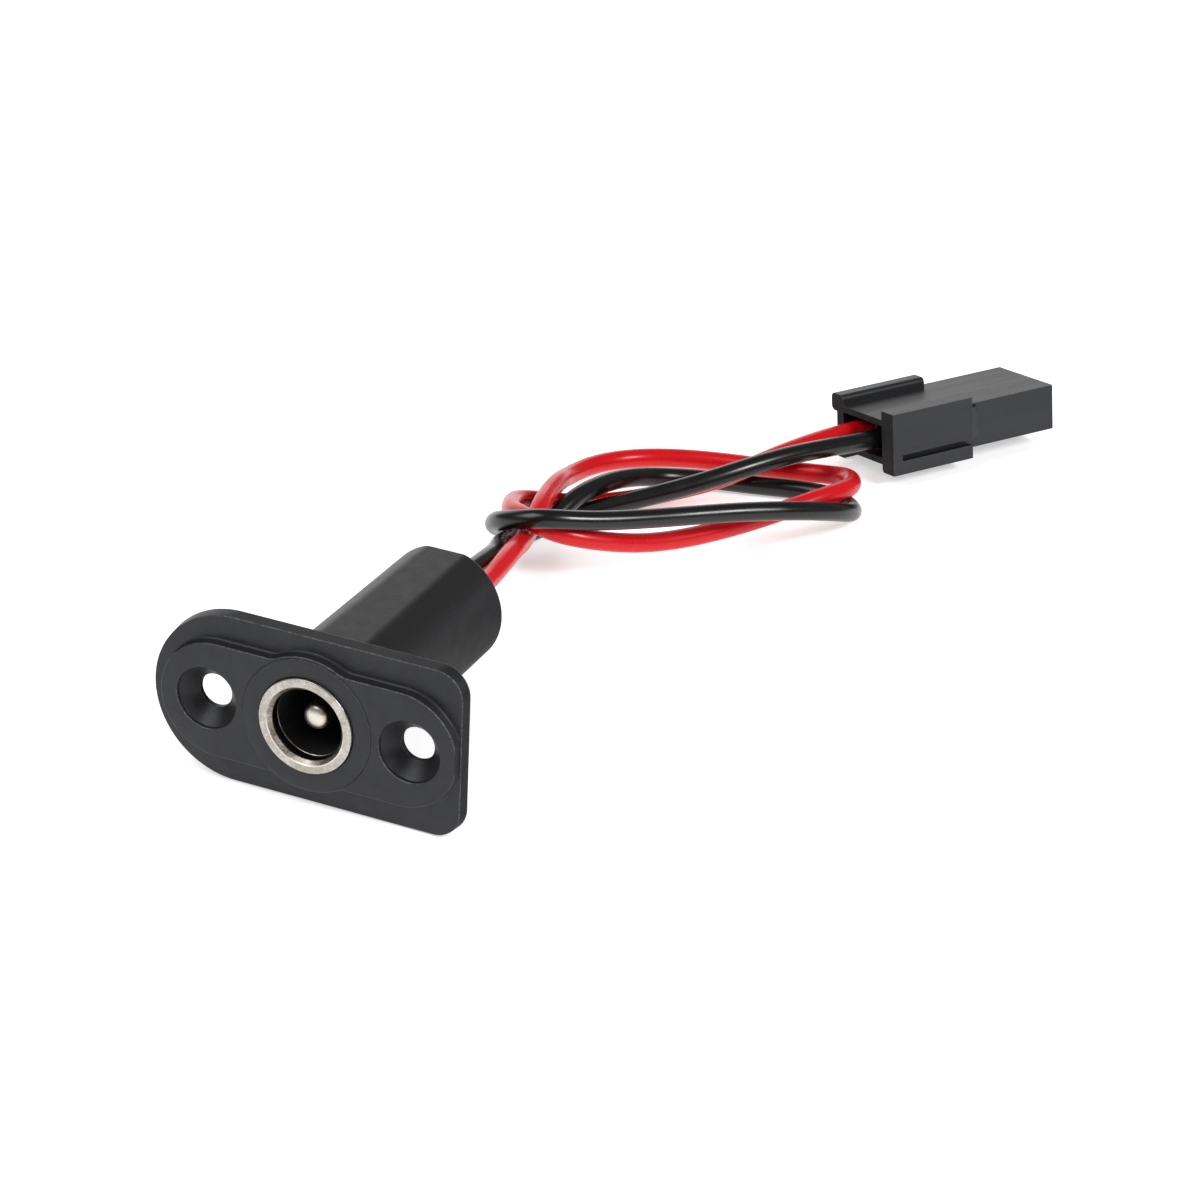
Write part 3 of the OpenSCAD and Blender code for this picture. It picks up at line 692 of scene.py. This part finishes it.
class PORT_OT_stage(bpy.types.Operator):
    """Sets up the camera, the pale floor and the soft studio light"""
    bl_idname = "port.stage"
    bl_label = "Stage"

    # Point in the middle of the picture, and the lens and sensor in millimetres
    AIM = Vector((18.09, 11.11, 9.4)) * MM
    LENS = 120
    SENSOR = 36
    # Softboxes: name, place, size and brightness
    SOFTBOXES = (
        ("Key softbox", Vector((-0.2, -0.23, 0.44)), 0.36, 4.2),
        ("Side softbox", Vector((0.42, -0.05, 0.34)), 0.14, 30.0),
        ("Rear softbox", Vector((-0.55, 0.7, 0.14)), 0.8, 1.25),
    )
    # Brightness of the white surround and of the floor's own glow, and half the floor's width
    SURROUND = 0.22
    FLOOR_GLOW = 0.5
    FLOOR_HALF = 2.0

    def execute(self, context):
        self.aim_camera(context)
        self.lay_floor(context)
        for softbox in self.SOFTBOXES:
            self.hang_softbox(*softbox)
        world = bpy.data.worlds.new("Studio")
        world.use_nodes = True
        sky = world.node_tree.nodes["Background"]
        sky.inputs["Color"].default_value = (1, 1, 1, 1)
        sky.inputs["Strength"].default_value = self.SURROUND
        context.scene.world = world
        context.scene.view_settings.view_transform = "Standard"
        return {"FINISHED"}

    def aim_camera(self, context):
        stage = context.scene.port_stage
        turn, rise = stage.azimuth, stage.elevation
        right = Vector((cos(turn), sin(turn), 0))
        back = Vector((sin(turn) * cos(rise), -cos(turn) * cos(rise), sin(rise)))
        level = Matrix((right, back.cross(right), back)).transposed()
        data = bpy.data.cameras.new("Camera")
        data.lens = self.LENS
        data.sensor_width = self.SENSOR
        data.clip_start = 0.01
        camera = put("Camera", data)
        facing = level @ Matrix.Rotation(stage.roll, 3, "Z")
        camera.matrix_world = Matrix.Translation(self.AIM + back * stage.distance) @ facing.to_4x4()
        context.scene.camera = camera

    def lay_floor(self, context):
        base = context.scene.port_stage.floor
        finish = Finish("Pale floor", base, 0.9, specular=0.2)
        finish.cloud_colour(base, 0.995, 1, 40 * MM)
        finish.set("Emission Color", (1, 1, 1, 1))
        finish.set("Emission Strength", self.FLOOR_GLOW)
        bm = bmesh.new()
        bmesh.ops.create_grid(bm, x_segments=1, y_segments=1, size=self.FLOOR_HALF)
        bmesh.ops.translate(bm, vec=(0, 0, CAD_BOX[0].z), verts=bm.verts)
        floor = put_mesh("Floor", bm)
        floor.data.materials.append(finish.material)

    def hang_softbox(self, name, place, size, brightness):
        data = bpy.data.lights.new(name, "AREA")
        data.shape = "SQUARE"
        data.size = size
        data.energy = brightness * pi * size * size
        lamp = put(name, data)
        facing = (place - self.AIM).to_track_quat("Z", "Y")
        lamp.matrix_world = Matrix.Translation(place) @ facing.to_matrix().to_4x4()


class PORT_OT_wires(bpy.types.Operator):
    """Lays the red and the black lead from the barrel to the connector"""
    bl_idname = "port.wires"
    bl_label = "Wires"

    def execute(self, context):
        wire = context.scene.port_wires
        red = lay_wire("red_lead", 1, RED_ROUTE,
                       insulation("Red insulation", wire.red, roughness=0.27, specular=0.3))
        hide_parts("red_wire")
        black = lay_wire("black_lead", -1, BLACK_ROUTE,
                         insulation("Black insulation", wire.black, roughness=0.24, specular=0.45))
        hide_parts("black_wire")
        return {"FINISHED"}


class PORT_OT_flange_housing(bpy.types.Operator):
    """Models the flange plate, its pad and boss, and the hollow barrel"""
    bl_idname = "port.flange_housing"
    bl_label = "Flange housing"

    # Steps of the barrel's round sides and of the soft edges beside its flats
    SIDE_STEPS = 44
    EDGE_STEPS = 10

    def execute(self, context):
        size = context.scene.port_housing
        screw = MOUNTS["screw_holes"]["dims"]
        front = -size.plate
        pad_face = front - size.pad_rise
        bm = bmesh.new()
        skin(bm, self.plate_outlines(bm, size, front))
        skin(bm, self.pad_outlines(bm, size, front, pad_face, screw))
        skin(bm, self.barrel_outlines(bm, size))
        turned(bm, self.bore_line(size, pad_face))
        for side in (-1, 1):
            turned(bm, self.screw_line(size, pad_face, screw["hole_r_mm"] * MM),
                   side * screw["spacing_x_mm"] / 2 * MM)
        for plane in (front, pad_face, 0.0, HOUSING_HIGH.y):
            close_plane(bm, plane)
        # Painted highlight only on edges that face up or to the right
        mark_painted_highlight(bm, least=radians(10), everywhere=0.0)
        mark_dull(bm, Vector((1, 0, 0)))
        black = moulded_plastic("Housing plastic", size.colour, size.worn, roughness=0.46,
                                specular=0.41)
        finish_piece("port_housing", bm, black, "housing_plastic", "flange_housing")
        return {"FINISHED"}

    def plate_outlines(self, bm, size, front):
        edge, lean = size.edge, size.plate * tan(size.rim_draft)
        section = rounded([(-lean - 2 * edge, front, 0), (-lean, front, edge), (0, 0, edge),
                           (-2 * edge, 0, 0)])
        return [outline(bm, self.draw_plate, size, grow, y) for grow, y in section[1:-1]]

    def draw_plate(self, bm, size, grow, y):
        half = HOUSING_HIGH.z + grow
        round_x = HOUSING_LOW.x + HOUSING_HIGH.z
        corner_x = HOUSING_HIGH.x - size.corner
        corner_z = HOUSING_HIGH.z - size.corner
        pen = bm.verts.new((corner_x, y, -half))
        pen = arc(bm, pen, corner_x, -corner_z, pi / 2)
        pen = line_to(bm, pen, HOUSING_HIGH.x + grow, corner_z)
        pen = arc(bm, pen, corner_x, corner_z, pi / 2)
        pen = line_to(bm, pen, round_x, half)
        pen = arc(bm, pen, round_x, 0, pi)
        line_to(bm, pen, corner_x, -half)

    def pad_outlines(self, bm, size, front, pad_face, screw):
        reach = screw["spacing_x_mm"] / 2 * MM + size.sink + size.pad_end_wall
        edge, lean = size.edge, size.pad_rise * tan(size.rim_draft)
        section = rounded([(lean + 2 * size.foot, front, 0), (lean, front, size.foot),
                           (0, pad_face, edge), (-2 * edge, pad_face, 0)])
        return [outline(bm, self.draw_pad, size, reach, grow, y) for grow, y in section[1:-1]]

    def draw_pad(self, bm, size, reach, grow, y):
        nose = size.pad_height / 2 + grow
        nose_x = reach - size.pad_height / 2
        middle = size.boss + size.boss_ledge
        blend_z = size.pad_height / 2 + size.blend
        blend_x = sqrt((middle + size.blend) ** 2 - blend_z ** 2)
        lean = atan2(blend_z, blend_x)
        known = set(bm.verts)
        pen = bm.verts.new((nose_x, y, -nose))
        for side in (1, -1):
            pen = arc(bm, pen, side * nose_x, 0, pi)
            pen = line_to(bm, pen, side * blend_x, side * nose)
            pen = arc(bm, pen, side * blend_x, side * blend_z, lean - pi / 2)
            pen = arc(bm, pen, 0, 0, pi - 2 * lean)
            pen = arc(bm, pen, -side * blend_x, side * blend_z, lean - pi / 2)
            pen = line_to(bm, pen, -side * nose_x, side * nose)
        # The pad's end stays inside the plate's square end
        limit = HOUSING_HIGH.x - size.plate * tan(size.rim_draft) - 1.2 * size.edge
        for vert in set(bm.verts) - known:
            vert.co.x = min(vert.co.x, limit)

    def barrel_outlines(self, bm, size):
        tail = HOUSING_HIGH.y
        tail_r = size.barrel - tail * tan(size.draft)
        section = rounded([(size.barrel, 0, 0), (tail_r, tail, size.tail_edge),
                           (tail_r - 2 * size.tail_edge, tail, 0)])
        return [outline(bm, self.draw_barrel, size.flat_edge, radius,
                        min(size.flat, radius + size.flat - tail_r), y)
                for radius, y in section[:-1]]

    def draw_barrel(self, bm, edge, radius, flat, y):
        """Two round sides and two flats, joined by soft edges."""
        up = flat - edge
        lean = acos(up / (radius - edge))
        across = (radius - edge) * sin(lean)
        pen = bm.verts.new((across, y, -flat))
        for side in (1, -1):
            pen = arc(bm, pen, side * across, -side * up, lean, self.EDGE_STEPS)
            pen = arc(bm, pen, 0, 0, pi - 2 * lean, self.SIDE_STEPS)
            pen = arc(bm, pen, side * across, side * up, lean, self.EDGE_STEPS)
            pen = line_to(bm, pen, -side * across, side * flat)

    def bore_line(self, size, pad_face):
        """From the boss's foot over its face, down the stepped bore and out at the tail."""
        edge, groove, bore = size.edge, size.boss_groove, SEAL_HIGH.x
        face, tail = HOUSING_LOW.y, HOUSING_HIGH.y
        return rounded([
            (size.boss + groove, pad_face, 0), (size.boss, pad_face + groove, 0),
            (size.boss, face, size.boss_edge), (size.front_bore, face, size.bore_edge),
            (size.front_bore, size.shoulder, 0), (bore, size.shoulder, 0), (bore, tail, edge),
            (bore + 2 * edge, tail, 0)
        ])

    def screw_line(self, size, pad_face, hole):
        """From the countersink's rim down its cone and through the hole."""
        edge, sink = size.edge, size.sink
        cone = pad_face + size.sink_lip
        return rounded([
            (sink + 2 * edge, pad_face, 0), (sink, pad_face, edge), (sink, cone, edge),
            (hole, cone + sink - hole, edge), (hole, 0, edge), (hole + 2 * edge, 0, 0)
        ])


class PORT_OT_jack(bpy.types.Operator):
    """Turns the bright shell, the black liner and the centre pin"""
    bl_idname = "port.jack"
    bl_label = "Jack"

    # Roundings of the ring's mouth and bead, of the liner and its floor, and of the pin
    MOUTH_EDGE = 0.05 * MM
    BEAD_EDGE = 0.02 * MM
    LINER_MOUTH_EDGE = 0.06 * MM
    LINER_EDGE = 0.04 * MM
    FLOOR_EDGE = 0.15 * MM
    COLLAR_EDGE = 0.05 * MM
    TAIL_EDGE = 0.1 * MM
    # Steps of the pin's dome from its tip to its side
    DOME_STEPS = 12
    # Depth of the step over the spring's foot
    FOOT_STEP = 0.4 * MM

    def execute(self, context):
        size = context.scene.port_jack
        self.turn_shell(size, context.scene.port_housing.shoulder)
        self.turn_liner(size)
        self.turn_pin(size)
        return {"FINISHED"}

    def turn_shell(self, size, shoulder):
        face, back, outer = SHELL_LOW.y, SHELL_HIGH.y, SHELL_HIGH.x
        lip = size.socket + size.fit
        seat = LINER_LOW.y + size.liner_set
        bm = bmesh.new()
        turned(bm, rounded([
            (size.mouth, face, self.MOUTH_EDGE), (size.ring, face, size.edge),
            (size.ring, shoulder, 0), (outer, shoulder, 0), (outer, back, size.edge),
            (size.shell_bore, back, 0), (size.shell_bore, seat, 0), (lip - size.bead, seat, 0),
            (lip - size.bead, seat - size.bead, self.BEAD_EDGE), (lip, seat - 2 * size.bead, 0),
            (lip, face + size.bevel, self.MOUTH_EDGE)
        ], closed=True), closed=True)
        finish_piece("jack_ring_shell", bm, ring_nickel(size.ring_colour, size.mouth, lip),
                     "ring_metal", "jack_shell")

    def turn_liner(self, size):
        front, back, outer = LINER_LOW.y + size.liner_set, LINER_HIGH.y, LINER_HIGH.x
        floor = back - size.floor
        hole = size.root + size.fit
        bm = bmesh.new()
        turned(bm, rounded([
            (size.socket, front, self.LINER_MOUTH_EDGE), (outer, front, self.LINER_EDGE),
            (outer, back, self.LINER_EDGE), (hole, back, 0), (hole, floor, 0),
            (size.socket, floor, self.FLOOR_EDGE)
        ], closed=True), closed=True)
        liner = helper("liner_blank", bm)
        # Slot for the spring leaf, through the liner and over the floor
        half = SPRING_HIGH.x + 2 * size.fit
        start = SPRING_LOW.y - size.fit
        slot = block((-half, start, size.tail), (half, floor, outer + MM))
        combine(liner, helper("leaf_slot", slot), "DIFFERENCE")
        step = block((-half, start, SPRING_HIGH.z - self.FOOT_STEP), (half, back + MM, outer + MM))
        combine(liner, helper("leaf_step", step), "DIFFERENCE")
        finish_piece("socket_liner", reopened(liner), socket_black(size.liner_colour),
                     "socket_plastic", "jack_insulator")

    def turn_pin(self, size):
        tip, end = PIN_LOW.y, PIN_HIGH.y
        pin = MOUNTS["charge_pin"]["dims"]["r_mm"] * MM
        floor, back = LINER_HIGH.y - size.floor, LINER_HIGH.y
        collar = back + size.collar
        dome = [(pin * sin(turn), tip + size.dome * (1 - cos(turn)))
                for turn in (pi / 2 * k / self.DOME_STEPS for k in range(self.DOME_STEPS + 1))]
        stem = rounded([
            (pin, tip + size.dome, 0), (pin, floor, 0), (size.root, floor, 0), (size.root, back, 0),
            (PIN_HIGH.x, back, self.COLLAR_EDGE), (PIN_HIGH.x, collar, self.COLLAR_EDGE),
            (size.tail, collar, 0), (size.tail, end, self.TAIL_EDGE), (0, end, 0)
        ])
        bm = bmesh.new()
        turned(bm, dome + stem[1:])
        finish_piece("charge_pin", bm, pin_nickel(size.pin_colour), "pin_metal", "centre_pin")


class PORT_OT_seal(bpy.types.Operator):
    """Casts the seal that holds the two wires in the barrel's tail"""
    bl_idname = "port.seal"
    bl_label = "Seal"

    # Rounding of the seal's rims
    EDGE = 0.1 * MM

    def execute(self, context):
        wire, fit = context.scene.port_wires, context.scene.port_jack.fit
        front, back, outer = SEAL_LOW.y, SEAL_HIGH.y, SEAL_HIGH.x
        hole = wire.diameter / 2 + fit
        bm = bmesh.new()
        turned(bm, rounded([(outer - MM, front, 0), (outer, front, self.EDGE),
                            (outer, back, self.EDGE), (outer - MM, back, 0)]))
        for side in (-1, 1):
            turned(bm, [(hole, front), (hole, back)], side * wire.spacing / 2)
        close_plane(bm, front)
        close_plane(bm, back)
        finish_piece("tail_seal", bm, seal_compound(), "seal_compound", "rear_seal")
        return {"FINISHED"}


class PORT_OT_connector(bpy.types.Operator):
    """Builds the connector's housing with its walls, slot, rail, cavity and channels"""
    bl_idname = "port.connector"
    bl_label = "Connector"

    # Steps across a rounding of the near wall and of the rail
    ROUND_SEGMENTS = 6

    def execute(self, context):
        size = context.scene.port_connector
        shell = self.core(size)
        for joined in (self.near_wall(size), self.ramp(size), self.far_wall(size), self.rail(size)):
            combine(shell, joined, "UNION")
        for side in (-1, 1):
            near, far = sorted((side * size.rib / 2, side * size.cavity_width / 2))
            combine(shell, self.cavity(size, size.cavity_depth, near, far), "DIFFERENCE")
            combine(shell, self.channel(size, side), "DIFFERENCE")
        combine(shell, self.cavity(size, size.rib_set, -size.rib, size.rib), "DIFFERENCE")
        bm = reopened(shell)
        soften(bm, size.edge)
        place = connector_place()
        bmesh.ops.transform(bm, matrix=place, verts=bm.verts)
        # Painted highlight on every narrow edge, stronger where it faces up or to the right
        mark_painted_highlight(bm, least=radians(20), everywhere=0.5)
        mark_dull(bm, place.to_3x3() @ Vector((-1, 0, 0)))
        black = moulded_plastic("Connector plastic", size.colour, size.worn, roughness=0.42,
                                specular=0.48, flow=(12, 1, 1), turn=place.to_euler().z)
        plug = finish_piece("connector_housing", bm, black, "plug_plastic", "plug_housing")
        self.declare_leads(context, plug)
        return {"FINISHED"}

    def core(self, size):
        half = size.width / 2
        return helper("core", block((0, -half, 0), (size.length, half, size.height)))

    def lengthwise(self, bm, y, z):
        """The edge along the connector through one corner of a section."""
        return [edge for edge in bm.edges
                if all((vert.co.yz - Vector((y, z))).length < MERGE for vert in edge.verts)]

    def near_wall(self, size):
        """The near wall, round along its lower inner edge, with its slot."""
        outer, inner = -size.width / 2 - size.wall_side, -size.cavity_width / 2
        bm = block((0, outer, -size.near_drop), (size.body, inner, size.height + size.wall_stand))
        foot = self.lengthwise(bm, inner, -size.near_drop)
        round_edges(bm, foot, size.wall_edge, self.ROUND_SEGMENTS)
        wall = helper("near_wall", bm)
        low = size.bar - size.near_drop
        slot = block((size.slot_stop, outer - MM, low),
                     (size.body + MM, outer + size.slot_depth, low + size.slot_height))
        combine(wall, helper("slot", slot), "DIFFERENCE")
        return wall

    def ramp(self, size):
        """The ramp that leads from the near wall's end down to the nose's side."""
        side, inner = -size.width / 2, -size.cavity_width / 2
        start, end = size.body - size.ramp, size.body + size.ramp
        low = size.bar - size.near_drop + size.slot_height
        bm = bmesh.new()
        corners = ((start, inner), (size.body, side - size.wall_side), (end, side), (end, inner))
        foot = bm.faces.new([bm.verts.new((x, y, low)) for x, y in corners])
        risen = bmesh.ops.extrude_face_region(bm, geom=[foot])["geom"]
        bmesh.ops.translate(bm, vec=(0, 0, size.height - size.ramp_drop - low),
                            verts=[part for part in risen if isinstance(part, bmesh.types.BMVert)])
        return helper("ramp", bm)

    def far_wall(self, size):
        return helper("far_wall", block((0, size.cavity_width / 2, -size.far_drop),
                                        (size.body, size.width / 2, size.height / 2)))

    def rail(self, size):
        """The far rail, round along its three free edges."""
        inner, outer = size.cavity_width / 2, size.width / 2 + size.wall_side
        top = size.height + size.rail_stand
        low = top - size.rail
        bm = block((0, inner, low), (size.rail_length, outer, top))
        free = [edge for corner in ((inner, top), (outer, top), (outer, low))
                for edge in self.lengthwise(bm, *corner)]
        round_edges(bm, free, size.rail_round, self.ROUND_SEGMENTS)
        return helper("rail", bm)

    def cavity(self, size, depth, near, far):
        """A part of the open cavity: one half beside the rib, or the mouth before it."""
        low = (size.height - size.cavity_height) / 2
        return helper("cavity", block((-MM, near, low), (depth, far, low + size.cavity_height)))

    def channel(self, size, side):
        half = size.channel / 2
        across, middle = side * size.spacing / 2, size.height / 2
        return helper("channel", block((size.cavity_depth - MM, across - half, middle - half),
                                       (size.length + MM, across + half, middle + half)))

    def declare_leads(self, context, plug):
        """Takes no step: no lead length is worked out here."""


class PORT_OT_inner_metal(bpy.types.Operator):
    """Gives the spring, the solder joints and the contacts their finishes"""
    bl_idname = "port.inner_metal"
    bl_label = "Inner metal"

    def execute(self, context):
        plug = context.scene.port_connector
        finishes = {
            sheet_metal("Spring bronze", (0.62, 0.5, 0.28), 0.3): ("contact_spring",),
            dull_solder(): ("red_solder_joint", "black_solder_joint"),
            sheet_metal("Contact tin", plug.metal, 0.3): ("red_contact", "black_contact"),
        }
        for material, names in finishes.items():
            for name in names:
                mesh = frame["nodes"][name].data
                mesh.materials.clear()
                mesh.materials.append(material)
        return {"FINISHED"}


class PORT_PT_panel(bpy.types.Panel):
    """Lists the pieces of the charging port and their sizes"""
    bl_idname = "PORT_PT_panel"
    bl_label = "Charging Port"
    bl_space_type = "VIEW_3D"
    bl_region_type = "UI"
    bl_category = "Charging Port"

    def draw(self, context):
        for operator in OPERATORS:
            self.layout.operator(operator.bl_idname)
        for name, group in SETTINGS.items():
            box = self.layout.box()
            box.label(text=group.__doc__)
            for setting in group.__annotations__:
                label = setting.replace("_", " ").capitalize()
                box.prop(getattr(context.scene, name), setting, text=label)


SETTINGS = {
    "port_stage": StageSettings,
    "port_wires": WireSettings,
    "port_housing": HousingSettings,
    "port_jack": JackSettings,
    "port_connector": ConnectorSettings,
}
# In the order in which they run
OPERATORS = (PORT_OT_stage, PORT_OT_wires, PORT_OT_flange_housing, PORT_OT_jack, PORT_OT_seal,
             PORT_OT_connector, PORT_OT_inner_metal)


def register():
    for group in (*SETTINGS.values(), *OPERATORS, PORT_PT_panel):
        bpy.utils.register_class(group)
    for name, group in SETTINGS.items():
        setattr(bpy.types.Scene, name, PointerProperty(type=group))


def unregister():
    for name in SETTINGS:
        delattr(bpy.types.Scene, name)
    for group in (PORT_PT_panel, *reversed(OPERATORS), *SETTINGS.values()):
        bpy.utils.unregister_class(group)


def main():
    register()
    for operator in OPERATORS:
        group, name = operator.bl_idname.split(".")
        getattr(getattr(bpy.ops, group), name)()


if __name__ == "__main__":
    main()
